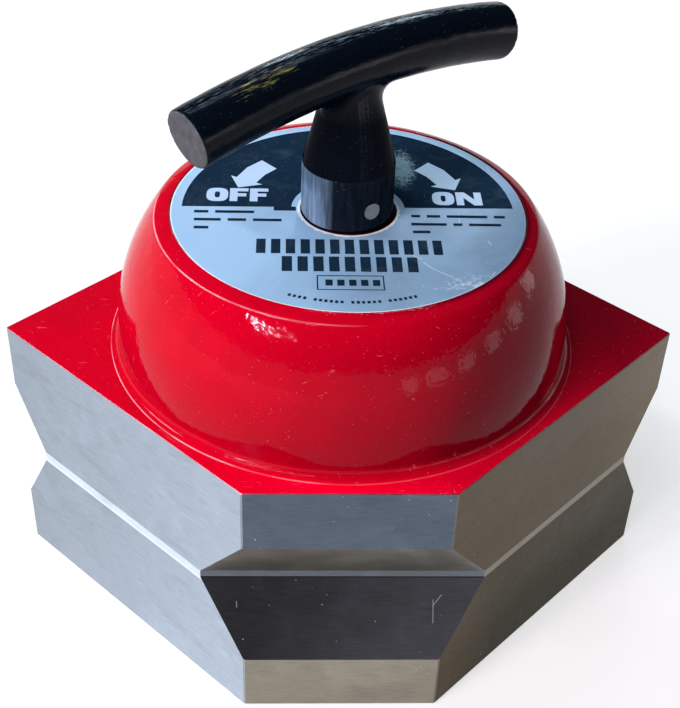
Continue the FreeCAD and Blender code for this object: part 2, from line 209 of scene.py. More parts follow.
def arc_to(bm, point, centre, degrees, count):
    """Draw round a centre; positive angles turn from upwards towards outwards."""
    done = bmesh.ops.spin(
        bm, geom=[point], cent=(centre[0] * MM, 0, centre[1] * MM), axis=(0, 1, 0),
        angle=math.radians(degrees), steps=count)
    return next(item for item in done["geom_last"] if isinstance(item, bmesh.types.BMVert))


def spin_round(bm, count):
    """Spin the outline a full turn into a closed skin."""
    bmesh.ops.remove_doubles(bm, verts=bm.verts, dist=0.001 * MM)
    bmesh.ops.spin(
        bm, geom=bm.verts[:] + bm.edges[:], cent=(0, 0, 0), axis=(0, 0, 1),
        angle=math.tau, steps=count, use_merge=True)
    bmesh.ops.remove_doubles(bm, verts=bm.verts, dist=0.001 * MM)
    bmesh.ops.recalc_face_normals(bm, faces=bm.faces)


def round_ring(bm, radius, height, size, count):
    """Bevel the ring of edges at this radius and height."""
    def on_ring(vert):
        """Whether a vertex lies on the ring."""
        away = math.hypot(vert.co.x, vert.co.y) / MM - radius
        return abs(away) < 0.01 and abs(vert.co.z / MM - height) < 0.01

    ring = [edge for edge in bm.edges if all(on_ring(vert) for vert in edge.verts)]
    bmesh.ops.bevel(bm, geom=ring, offset=size * MM, offset_type="OFFSET", affect="EDGES",
                    segments=count, profile=0.5, material=-1)


def finish_piece(bm_or_mesh, name, body, finish, smooth_below=40):
    """Make the object: name, body that it rides on, material and shading."""
    if isinstance(bm_or_mesh, bmesh.types.BMesh):
        mesh = bpy.data.meshes.new(name)
        bm_or_mesh.to_mesh(mesh)
        bm_or_mesh.free()
    else:
        mesh = bm_or_mesh
        mesh.name = name
    mesh.materials.clear()
    mesh.materials.append(finish)
    mesh.shade_smooth()
    mesh.set_sharp_from_angle(angle=math.radians(smooth_below))
    piece = bpy.data.objects.new(name, mesh)
    bpy.context.scene.collection.objects.link(piece)
    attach(piece, body)
    print(name, "faces:", len(mesh.polygons), "height mm:",
          round(min(v.co.z for v in mesh.vertices) / MM, 2), "to",
          round(max(v.co.z for v in mesh.vertices) / MM, 2))
    return piece


def ripple(bm, depth, wave, keep=lambda co: True, seed=0.0):
    """Press shallow, soft hollows into a skin, as thick paint has. Nothing grows outwards."""
    for vert in bm.verts:
        if keep(vert.co):
            dip = noise.noise(vert.co / (wave * MM) + Vector((seed, seed, seed)))
            vert.co -= vert.normal * depth * MM * (0.5 + 0.5 * dip)


# %% [markdown]
# ## Red enamel
# The dome is an iron casting under several coats of poured gloss paint. The colour is one
# strong red; what makes it look like paint is the coat: a mirror gloss that is gently uneven,
# with dust under the surface, hairs and short scratches. The shader has a red base under a
# clear coat, a broad slow bump for the flow of the paint, and small pale specks.
# Light and shade are painted in too: the right side, the foot and the recess are painted
# darker as shade, the top face lighter left of its centre, and a pale highlight is painted as a
# thin line along the rim and the foot, most of all on the left. These follow the place on the
# object, so they stay where they are from every side.

# %% Red enamel
BLOCK_TOP, FOOT_RADIUS, RIM_RADIUS, RIM_TOP, RECESS_RADIUS = 100.0, 79.6, 62.7, 147.9, 58.1
# Of these colours the brightest pure red is painted light, the three darkest are painted shade,
# and the palest pink is a painted highlight.
PAINTED_LIGHT_RED, RED, DEEP_RED = (0.92, 0.0, 0.025), (0.60, 0.0, 0.014), (0.49, 0.0, 0.012)
PAINTED_SHADE_RED, RECESS_SHADE_RED, SHADED_IRON = (0.14, 0.0, 0.007), (0.05, 0.0, 0.006), (0.035, 0.001, 0.003)
SCRATCHED_RED, HIGHLIGHT_RED = (0.85, 0.30, 0.33), (0.95, 0.42, 0.48)
SHADED_MIDDLE = 17.0
# painted highlight lines: radius, height, width of the line, and how strong it is on the left and
# on the right
HIGHLIGHT_LINES = ((RIM_RADIUS - 0.15, RIM_TOP - 0.3, 0.36, 0.85, 0.0),
              (FOOT_RADIUS - 0.15, BLOCK_TOP + 0.45, 0.32, 0.75, 0.12))


def red_enamel(name):
    """Gloss red over iron, with specks and hairs, painted shade on the right and painted highlight
    lines.
    """
    finish, skin = new_finish(name, roughness=0.5, specular_ior_level=0.0, coat_weight=1.0,
                              coat_roughness=0.04, coat_ior=1.17)
    where = place_mm(finish)
    flow = clouds(finish, where, 0.09, 2.0)
    dust_and_highlight = clouds(finish, where, 1.6, 1.0)
    specks = steps(finish, dust_and_highlight, (0.74, 0.0), (0.78, 1.0))
    hairs = clouds(finish, place_mm(finish, (0.25, 2.6, 0.4), (0.3, 0.2, 0.7)), 0.5, 2.0)
    scratches = steps(finish, hairs, (0.72, 0.0), (0.75, 1.0))
    marks = maths(finish, "MAXIMUM", specks, maths(finish, "MULTIPLY", scratches, 0.5))
    tone = blend(finish, span(finish, flow, 0.35, 0.65, 0, 0.35), RED, DEEP_RED)
    parts = add(finish, "SeparateXYZ", {0: where}).outputs
    side, height = parts["X"], parts["Z"]
    # painted shade, darker to the right and towards the foot: it starts above the foot, is thin at
    # the rim and ends at the far right
    on_dome = maths(finish, "MULTIPLY", span(finish, height, BLOCK_TOP + 0.3, BLOCK_TOP + 4.5),
                    span(finish, height, RIM_TOP + 0.1, RIM_TOP - 11.9, 0.35, 1.0))
    on_dome = maths(finish, "MULTIPLY", on_dome, span(finish, side, 55.0, 68.0, 1.0, 0.05))
    low = maths(finish, "ADD", span(finish, height, 128.0, 101.0, 0.0, 0.3),
                span(finish, side, -45.0, 45.0, 0.0, 0.76))
    painted_shade = maths(finish, "MULTIPLY_ADD", low, on_dome, span(finish, side, 20.0, 95.0, 0.0, 0.95))
    # painted light: the top face is lighter left of its centre
    painted_top_light = maths(finish, "MULTIPLY", span(finish, height, BLOCK_TOP + 1.0, BLOCK_TOP + 0.3),
                  span(finish, side, -60.0, -5.0))
    tone = blend(finish, painted_top_light, tone, PAINTED_LIGHT_RED)
    tone = blend(finish, span(finish, painted_shade, 0.0, 1.0, 0.0, 0.9), tone, PAINTED_SHADE_RED)
    colour = blend(finish, maths(finish, "MULTIPLY", marks, 0.35), tone, SCRATCHED_RED)
    # a painted highlight: a thin pale line round the rim and the foot, here and there
    out = distance_to(finish, where, (0, 0, 0))
    around = add(finish, "CombineXYZ", {"X": out, "Z": height}).outputs[0]
    thin = clouds(finish, where, 0.06, 3.0, 0.6)
    for radius, level, wide, on_left, on_right in HIGHLIGHT_LINES:
        near = distance_to(finish, around, (radius, 0, level), (1, 1, 1))
        line = maths(finish, "MULTIPLY", span(finish, near, wide, wide * 0.4),
                     span(finish, thin, 0.36, 0.56, 0.2, 1.0))
        line = maths(finish, "MULTIPLY", line,
                     span(finish, side, 5.0, -35.0, on_right, on_left))
        colour = blend(finish, line, colour, HIGHLIGHT_RED)
    # painted shade in the recess, on the right
    recess_shade = maths(finish, "MULTIPLY",
                        span(finish, out, RECESS_RADIUS + 2.3, RECESS_RADIUS + 0.9),
                        span(finish, side, 0.0, 40.0, 0.0, 0.9))
    colour = blend(finish, recess_shade, colour, RECESS_SHADE_RED)
    # painted shade in the middle, under the boss
    colour = blend(finish, span(finish, out, SHADED_MIDDLE, SHADED_MIDDLE + 1), SHADED_IRON, colour)
    plug(finish, colour, skin.inputs["Base Color"])
    peel = clouds(finish, where, 0.5, 2.0)
    lumps = maths(finish, "ADD", maths(finish, "MULTIPLY_ADD", peel, 0.5, flow),
                  maths(finish, "MULTIPLY", marks, 0.12))
    plug(finish, relief(finish, skin, lumps, 0.35, 0.4), skin.inputs["Coat Normal"])
    return finish


enamel = red_enamel("red_enamel")
print("made", enamel.name)

# %% [markdown]
# ## The dome
# The casting is a body of revolution: a narrow foot, a small hollow where it meets the block,
# an upright belly, and one long arc that leans in to a flat rim. Inside the rim a shallow
# recess takes the label, and below is the room for the magnet works. The pen draws all of it
# in one loop, so the spun skin is closed, and the rim's edges are rounded with a bevel.

# %% Draw and spin the dome
CROWN_TOP, LABEL_SEAT, LABEL_SHIFT = 149.5, 148.2, 0.5
BELLY_RADIUS, BELLY_TOP, FOOT_STEP, HOLLOW = 76.5, 108.0, 0.6, 3.1
WORKS_RADIUS, CEILING, SPINDLE_ROOM = 42.5, 128.0, 10.0
RIM_ROUND, FOOT_ROUND, CROWN_ROUND = 0.8, 0.3, 0.35
ROUND_STEPS = 224

draw_in, rise = BELLY_RADIUS - RIM_RADIUS, RIM_TOP - BELLY_TOP
side_radius = (draw_in ** 2 + rise ** 2) / (2 * draw_in)
side_angle = math.degrees(math.asin(rise / side_radius))

bm, pen = start_pen(SPINDLE_ROOM, LABEL_SEAT)
pen = line_to(bm, pen, RECESS_RADIUS, LABEL_SEAT)
pen = line_to(bm, pen, RECESS_RADIUS, CROWN_TOP)
pen = line_to(bm, pen, RIM_RADIUS, RIM_TOP)
pen = arc_to(bm, pen, (BELLY_RADIUS - side_radius, BELLY_TOP), side_angle, 28)
pen = line_to(bm, pen, BELLY_RADIUS, BLOCK_TOP + FOOT_STEP + HOLLOW)
pen = arc_to(bm, pen, (FOOT_RADIUS, BLOCK_TOP + FOOT_STEP + HOLLOW), -90, 8)
pen = line_to(bm, pen, FOOT_RADIUS, BLOCK_TOP)
pen = line_to(bm, pen, WORKS_RADIUS, BLOCK_TOP)
pen = line_to(bm, pen, WORKS_RADIUS, CEILING)
pen = line_to(bm, pen, SPINDLE_ROOM, CEILING)
line_to(bm, pen, SPINDLE_ROOM, LABEL_SEAT)
spin_round(bm, ROUND_STEPS)
round_ring(bm, RIM_RADIUS, RIM_TOP, RIM_ROUND, 5)
round_ring(bm, FOOT_RADIUS, BLOCK_TOP + FOOT_STEP, FOOT_ROUND, 3)
round_ring(bm, RECESS_RADIUS, CROWN_TOP, CROWN_ROUND, 3)
recess = [vert for vert in bm.verts if abs(vert.co.xy.length / MM - RECESS_RADIUS) < 0.5]
bmesh.ops.translate(bm, vec=(LABEL_SHIFT * MM, 0, 0), verts=recess)
bm.normal_update()
ripple(bm, 0.08, 16, lambda co: (co.xy.length > (RECESS_RADIUS + 0.9) * MM
                                 and co.z > (BLOCK_TOP + 4) * MM))
dome = finish_piece(bm, "dome_casting", "body", enamel)
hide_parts("dome_cover")

# %% [markdown]
# ## The paint on the block's top
# The top face of the upper block was painted with the dome, up to its edges. A ring spreads
# from the dome's foot far past the block, and six straight cuts trim it to the outline, so
# that it covers most of the block's own broken edge. Raised by a tenth and a half and
# bevelled, it ends in the soft lip that thick paint has.

# %% Cut the paint film
ACROSS_FLATS, FACET_REACH, FILM_MARGIN, FILM_THICKNESS, FILM_LIP = 82.0, 83.0, 0.12, 0.16, 0.12
bm = bmesh.new()
bmesh.ops.create_circle(bm, cap_ends=False, segments=ROUND_STEPS,
                        radius=(FOOT_RADIUS - 0.2) * MM)
spread = bmesh.ops.extrude_edge_only(bm, edges=bm.edges[:])
outer = [item for item in spread["geom"] if isinstance(item, bmesh.types.BMVert)]
bmesh.ops.scale(bm, vec=(1.7, 1.7, 1), verts=outer)
bmesh.ops.translate(bm, vec=(0, 0, BLOCK_TOP * MM), verts=bm.verts)
for angle, reach in ((45, ACROSS_FLATS), (135, ACROSS_FLATS), (225, ACROSS_FLATS),
                     (315, ACROSS_FLATS), (90, FACET_REACH), (270, FACET_REACH)):
    facing = Vector((math.cos(math.radians(angle)), math.sin(math.radians(angle)), 0))
    bmesh.ops.bisect_plane(
        bm, geom=bm.verts[:] + bm.edges[:] + bm.faces[:], dist=1e-6,
        plane_co=facing * (reach - FILM_MARGIN) * MM, plane_no=facing, clear_outer=True)
raised = bmesh.ops.extrude_face_region(bm, geom=bm.faces[:])
lifted = [item for item in raised["geom"] if isinstance(item, bmesh.types.BMVert)]
bmesh.ops.translate(bm, vec=(0, 0, FILM_THICKNESS * MM), verts=lifted)
bmesh.ops.recalc_face_normals(bm, faces=bm.faces)
lip = [edge for edge in bm.edges
       if all(vert.co.z > (BLOCK_TOP + 0.1) * MM for vert in edge.verts)
       and edge.calc_face_angle(0) > 1
       and min(math.hypot(*vert.co.xy) for vert in edge.verts) > (FOOT_RADIUS + 0.5) * MM]
bmesh.ops.bevel(bm, geom=lip, offset=FILM_LIP * MM, offset_type="OFFSET", affect="EDGES",
                segments=3, profile=0.5, material=-1)
finish_piece(bm, "top_paint", "body", enamel)

# %% [markdown]
# ## The label plate
# A disc of anodised aluminium, printed in dark blue, lies in the recess with a thin gap all
# round. It is spun like the dome, with its upper edges rolled over. The metal is pale blue
# with long soft stains and fine scratches in all directions, and painted shade darkens it
# towards the lower right. A few longer scratches and a bruise near the rim have places of their
# own. At the outer edge a bright line is part rubbed-off colour and part painted highlight,
# strongest on the left, and round the hole the colour is torn off in a ragged band.

# %% Anodised plate
LABEL_RADIUS, LABEL_HOLE, LABEL_TOP = 57.9, 15.75, 149.0
BRUISE = (36.0, -42.0, 0.0)
LABEL_SCRATCHES = [((x0, y0, LABEL_TOP), (x1, y1, LABEL_TOP)) for x0, y0, x1, y1 in (
    (19.8, -27.0, 22.3, -28.9), (22.7, -30.8, 25.8, -34.6), (25.8, -34.6, 31.0, -38.7),
    (28.8, -45.5, 32.6, -42.7), (44.3, -18.2, 44.9, -20.2), (44.4, -35.6, 43.4, -37.5),
    (13.1, -22.3, 12.7, -25.3), (33.9, -41.7, 39.0, -44.0))]


def scratch(finish, where, start, end, wide=0.14):
    """A mask for a straight scratch between two places, in millimetres."""
    along = Vector(end) - Vector(start)
    away = add(finish, "VectorMath", {0: where, 1: start}, operation="SUBTRACT").outputs[0]
    share = add(finish, "VectorMath", {0: away, 1: along / along.length_squared},
                operation="DOT_PRODUCT").outputs["Value"]
    nearest = add(finish, "VectorMath", {0: along, "Scale": span(finish, share, 0.0, 1.0)},
                  operation="SCALE").outputs[0]
    return span(finish, distance_to(finish, away, nearest, (1, 1, 1)), wide, wide * 0.4)


def label_metal():
    """Pale blue metal, stained and scratched, shaded to the lower right, with a worn and
    painted-highlight edge, and bare round its hole.
    """
    finish, skin = new_finish("label_metal", metallic=0.1, specular_ior_level=0.3)
    where = place_mm(finish)
    stain = clouds(finish, where, 0.05, 3.0, 0.55, 0.6)
    parts = add(finish, "SeparateXYZ", {0: where}).outputs
    # painted shade: darker towards the lower right, mixed with the stains
    dull = maths(finish, "SUBTRACT", maths(finish, "MULTIPLY", parts["X"], 0.010),
                 maths(finish, "MULTIPLY", parts["Y"], 0.006))
    dull = span(finish, maths(finish, "ADD", dull, stain), 0.35, 1.25)
    tone = blend(finish, dull, (0.35, 0.56, 0.76), (0.20, 0.325, 0.455))
    lines = clouds(finish, place_mm(finish, (3.0, 0.16, 1), (0, 0, 0.5)), 0.5, 3.0)
    cross = clouds(finish, place_mm(finish, (2.4, 0.12, 1), (0, 0, -0.9)), 0.5, 3.0)
    scratches = maths(finish, "MAXIMUM", steps(finish, lines, (0.73, 0.0), (0.77, 1.0)),
                      steps(finish, cross, (0.74, 0.0), (0.78, 1.0)))
    specks = steps(finish, clouds(finish, where, 1.4, 2.0), (0.745, 0.0), (0.765, 1.0))
    scratches = maths(finish, "MAXIMUM", scratches, specks)
    bruise = span(finish, distance_to(finish, where, BRUISE, (0.5, 1.0, 0)), 8.0, 2.0)
    bruise = maths(finish, "MULTIPLY_ADD", bruise, 0.2, clouds(finish, where, 0.7, 4.0, 0.6))
    scratches = maths(finish, "MAXIMUM", scratches, span(finish, bruise, 0.68, 0.80))
    for start, end in LABEL_SCRATCHES:
        scratches = maths(finish, "MAXIMUM", scratches, scratch(finish, where, start, end, 0.28))
    colour = blend(finish, maths(finish, "MULTIPLY", scratches, 0.55), tone, (0.80, 0.88, 0.95))
    # a bright line at the edge, part bare metal and part painted highlight, strongest on the left,
    # and bare metal in a ragged band round the hole
    out = distance_to(finish, where, (LABEL_SHIFT, 0, 0))
    torn = maths(finish, "MULTIPLY_ADD", clouds(finish, where, 0.45, 4.0, 0.7), -2.5, out)
    edge_wear_and_highlight = maths(finish, "MULTIPLY",
                      span(finish, out, LABEL_RADIUS - 0.6, LABEL_RADIUS - 0.4),
                      span(finish, parts["X"], 42.0, 10.0, 0.15, 1.0))
    bright = maths(finish, "MAXIMUM", edge_wear_and_highlight,
                   span(finish, torn, LABEL_HOLE - 0.2, LABEL_HOLE - 0.4))
    colour = blend(finish, bright, colour, (0.93, 0.95, 0.95))
    plug(finish, colour, skin.inputs["Base Color"])
    plug(finish, span(finish, stain, 0.3, 0.7, 0.30, 0.44), skin.inputs["Roughness"])
    relief(finish, skin, scratches, 0.02, 0.6)
    return finish


bm, pen = start_pen(LABEL_HOLE, LABEL_SEAT)
for radius, height in ((LABEL_RADIUS, LABEL_SEAT), (LABEL_RADIUS, LABEL_TOP),
                       (LABEL_HOLE, LABEL_TOP), (LABEL_HOLE, LABEL_SEAT)):
    pen = line_to(bm, pen, radius, height)
spin_round(bm, ROUND_STEPS)
round_ring(bm, LABEL_RADIUS, LABEL_TOP, 0.25, 3)
round_ring(bm, LABEL_HOLE, LABEL_TOP, 0.2, 3)
bmesh.ops.translate(bm, vec=(LABEL_SHIFT * MM, 0, 0), verts=bm.verts)
hole = [vert for vert in bm.verts if vert.co.xy.length < (LABEL_HOLE + 1) * MM]
bmesh.ops.translate(bm, vec=(0.1 * MM, 0.2 * MM, 0), verts=hole)
label = finish_piece(bm, "label_plate", "body", label_metal())
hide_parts("label_disc")

# %% [markdown]
# ## The print
# The upper half of the plate carries a dark panel with ON, OFF and two arrows left pale. Each
# printed shape is a very thin solid on the plate. The panel is a flat ring cut straight
# across; letters and arrows are flat curves, filled and given a thickness, made into a mesh
# and only then put in place. The lower half has plain bars and rules.

# %% Printing inks
PRINT_LIFT, PRINT_THICKNESS = 0.01, 0.02
RUBBED_SPOT = (19.5, 27.0, 0.0)


def ink(name, base, worn, wear_from, rubbed=None):
    """A printed colour with small chips, and a crackled patch round a rubbed spot."""
    finish, skin = new_finish(name, specular_ior_level=0.0)
    where = place_mm(finish)
    chips = steps(finish, clouds(finish, where, 1.1, 4.0, 0.6), (wear_from, 0.0),
                  (wear_from + 0.05, 1.0))
    haze_and_reflection = span(finish, clouds(finish, where, 0.11, 4.0, 0.6, 0.8), 0.50, 0.80, 0, 0.09)
    grains = steps(finish, clouds(finish, where, 1.2, 2.0), (0.715, 0.0), (0.76, 0.5))
    wear = maths(finish, "MAXIMUM", maths(finish, "MAXIMUM", chips, grains), haze_and_reflection)
    if rubbed:
        near = span(finish, distance_to(finish, where, rubbed, (1.0, 0.45, 0)), 8.5, 2.5)
        cracks = clouds(finish, where, 0.55, 6.0, 0.75, 1.2)
        glint = maths(finish, "MULTIPLY_ADD", near, 0.38, cracks)
        wear = maths(finish, "MAXIMUM", wear, span(finish, glint, 0.70, 0.86, 0.0, 0.9))
    plug(finish, blend(finish, wear, base, worn), skin.inputs["Base Color"])
    plug(finish, span(finish, haze_and_reflection, 0, 0.15, 0.3, 0.5), skin.inputs["Roughness"])
    return finish


navy_ink = ink("navy_ink", (0.009, 0.024, 0.046), (0.22, 0.34, 0.39), 0.69, RUBBED_SPOT)
pale_ink = ink("pale_ink", (0.50, 0.66, 0.84), (0.34, 0.47, 0.62), 0.74)
print("inks:", navy_ink.name, pale_ink.name)

# %% The dark panel
PANEL_RADIUS, PANEL_HOLE, CHORD = 54.2, 18.6, 1.2
bm = bmesh.new()
bmesh.ops.create_circle(bm, cap_ends=False, segments=ROUND_STEPS, radius=PANEL_HOLE * MM)
spread = bmesh.ops.extrude_edge_only(bm, edges=bm.edges[:])
outer = [item for item in spread["geom"] if isinstance(item, bmesh.types.BMVert)]
bmesh.ops.scale(bm, vec=(PANEL_RADIUS / PANEL_HOLE,) * 2 + (1,), verts=outer)
bmesh.ops.bisect_plane(
    bm, geom=bm.verts[:] + bm.edges[:] + bm.faces[:], dist=1e-7,
    plane_co=(0, CHORD * MM, 0), plane_no=(0.008, -1, 0), clear_outer=True)
thick = bmesh.ops.extrude_face_region(bm, geom=bm.faces[:])
lifted = [item for item in thick["geom"] if isinstance(item, bmesh.types.BMVert)]
bmesh.ops.translate(bm, vec=(0, 0, PRINT_THICKNESS * MM), verts=lifted)
bmesh.ops.translate(bm, vec=(LABEL_SHIFT * MM, 0, (LABEL_TOP + PRINT_LIFT) * MM), verts=bm.verts)
bmesh.ops.recalc_face_normals(bm, faces=bm.faces)
finish_piece(bm, "navy_panel", "body", navy_ink)


# %% Flat signs from outlines
def flat_sign(name, outlines, finish, level):
    """Fill closed outlines, in millimetres on the plate; an inner outline leaves a hole."""
    curve = bpy.data.curves.new(name, "CURVE")
    curve.dimensions = "2D"
    curve.fill_mode = "BOTH"
    curve.extrude = PRINT_THICKNESS / 2 * MM
    for outline in outlines:
        spline = curve.splines.new("POLY")
        spline.points.add(len(outline) - 1)
        for point, (x, y) in zip(spline.points, outline):
            point.co = (x * MM, y * MM, 0, 1)
        spline.use_cyclic_u = True
    drawn = bpy.data.objects.new(name + "_outline", curve)
    mesh = bpy.data.meshes.new_from_object(drawn)
    bpy.data.objects.remove(drawn)
    bm = bmesh.new()
    bm.from_mesh(mesh)
    bmesh.ops.remove_doubles(bm, verts=bm.verts, dist=0.001 * MM)
    bmesh.ops.translate(bm, vec=(LABEL_SHIFT * MM, 0, level * MM), verts=bm.verts)
    bmesh.ops.recalc_face_normals(bm, faces=bm.faces)
    return finish_piece(bm, name, "body", finish)


def oval(x, y, half_wide, half_high, power, count=56):
    """A rounded-square ring of points."""
    turns = [math.tau * step / count for step in range(count)]
    return [(x + half_wide * math.copysign(abs(math.cos(t)) ** (2 / power), math.cos(t)),
             y + half_high * math.copysign(abs(math.sin(t)) ** (2 / power), math.sin(t)))
            for t in turns]


def bar(x, y, wide, high):
    """A rectangle from its lower left corner."""
    return [(x, y), (x + wide, y), (x + wide, y + high), (x, y + high)]


def scaled(points, x, y, size):
    """An outline drawn one unit high, moved and made to size."""
    return [(x + px * size, y + py * size) for px, py in points]


LETTER_F = [(0, 0), (0.31, 0), (0.31, 0.37), (0.66, 0.37), (0.66, 0.61), (0.31, 0.61),
            (0.31, 0.76), (0.74, 0.76), (0.74, 1), (0, 1)]
LETTER_N = [(0, 0), (0.30, 0), (0.30, 0.58), (0.70, 0), (1.04, 0), (1.04, 1), (0.74, 1),
            (0.74, 0.44), (0.36, 1), (0, 1)]
LETTER_HIGH, SIGN_LEVEL = 8.2, LABEL_TOP + PRINT_LIFT + PRINT_THICKNESS * 1.5 + 0.01
OFF_LEFT, OFF_BASE, ON_LEFT, ON_BASE = -46.4, 4.2, 28.1, 3.4

flat_sign("print_off", [
    oval(OFF_LEFT + 3.5, OFF_BASE + 4.1, 3.55, 4.2, 2.9),
    oval(OFF_LEFT + 3.5, OFF_BASE + 4.1, 0.85, 1.9, 3.2),
    scaled(LETTER_F, OFF_LEFT + 7.6, OFF_BASE, LETTER_HIGH),
    scaled(LETTER_F, OFF_LEFT + 14.2, OFF_BASE, LETTER_HIGH),
], pale_ink, SIGN_LEVEL)
flat_sign("print_on", [
    oval(ON_LEFT + 3.6, ON_BASE + 4.1, 3.65, 4.2, 2.9),
    oval(ON_LEFT + 3.6, ON_BASE + 4.1, 0.8, 1.9, 3.2),
    scaled(LETTER_N, ON_LEFT + 7.9, ON_BASE, LETTER_HIGH),
], pale_ink, SIGN_LEVEL)

# %% The two arrows
ARROW = [(28.6, 31.3), (23.5, 25.7), (27.4, 21.5), (30.3, 16.2), (28.2, 15.1), (36.2, 13.0),
         (38.8, 20.8), (36.9, 19.7), (33.5, 26.3)]
flat_sign("print_arrow_on", [ARROW], pale_ink, SIGN_LEVEL)
flat_sign("print_arrow_off", [[(-x, y) for x, y in reversed(ARROW)]], pale_ink, SIGN_LEVEL)

# %% Plain bars and rules on the lower half
BAR_PITCH, BAR_GAP, RULE_HIGH, RULE_GAP = 4.5, 1.7, 1.5, 2.2
ARC_INNER, ARC_OUTER, ARC_START, ARC_STEP, DASH_TURN = 51.9, 53.2, -112, 1.75, 1.0
bold_bars = []
for row_y, row_left, row_right in ((-26.5, -29.6, 28.8), (-36.3, -21.6, 20.4)):
    count = round((row_right - row_left) / BAR_PITCH)
    pitch = (row_right - row_left + BAR_GAP) / count
    bold_bars += [bar(row_left + step * pitch, row_y, pitch - BAR_GAP, LETTER_HIGH)
                  for step in range(count)]
flat_sign("print_bold_bars", bold_bars, navy_ink, SIGN_LEVEL)

rules = [bar(-11.0, -46.2, 20.5, 7.8), bar(-10.6, -45.8, 19.7, 7.0)]
rules += [bar(-8.4 + 3.6 * step, -43.9, 2.2, 3.2) for step in range(5)]
for left, base, widths in (
        (-50.0, -3.1, (4.6, 12.6)), (-49.8, -7.9, (8.6, 5.9, 9.2)), (-49.6, -12.7, (4.6,)),
        (20.3, -4.5, (2.9, 4.3, 13.2, 3.6)), (20.0, -9.4, (11.4, 2.9, 10.4)),
        (20.2, -14.0, (5.6,))):
    for wide in widths:
        rules.append(bar(left, base, wide, RULE_HIGH))
        left += wide + RULE_GAP
dash = [(ARC_INNER, 0.0), (ARC_OUTER, 0.0), (ARC_OUTER, DASH_TURN), (ARC_INNER, DASH_TURN)]
for step in range(26):
    if step % 7 != 4:
        turns = [math.radians(ARC_START + ARC_STEP * step + wide) for _, wide in dash]
        rules.append([(radius * math.cos(turn), radius * math.sin(turn))
                      for (radius, _), turn in zip(dash, turns)])
rules.append(bar(-24.3, -1.3, 7.2, 2.5))
flat_sign("print_rules", rules, navy_ink, SIGN_LEVEL)

# %% [markdown]
# ## The handle
# A casting under thick black gloss. The CAD solid is exact but has the hard seams of a
# machine drawing, and thick paint has none. A copy of its mesh is merged, filled anew with
# small even faces by a voxel remesh, relaxed, and given the shallow lumps of hand-poured
# paint. Where the bar's ends are rubbed bare the shader shows grey iron. The gloss is full on
# the bar and worn dull on the boss; a highlight is painted along the top, an olive reflection
# on one arm, and a blue reflection on the skirt round the pin.

# %% Black enamel
BAR_ANGLE, BAR_HALF, BAR_DROP, BAR_HEIGHT, BAR_SHIFT = 38.5, 62.3, 6.6, 200.7, 0.8
SKIRT_TOP, REFLECTION_SPOT = 167.4, (-36.0, -3.5, 0.0)
BLACK, DUST_SPECK, BLUE_REFLECTION = (0.0016, 0.0036, 0.0078), (0.10, 0.14, 0.20), (0.38, 0.58, 0.80)
OLIVE_REFLECTION, CREST_HIGHLIGHT = (0.25, 0.23, 0.06), (0.26, 0.37, 0.42)


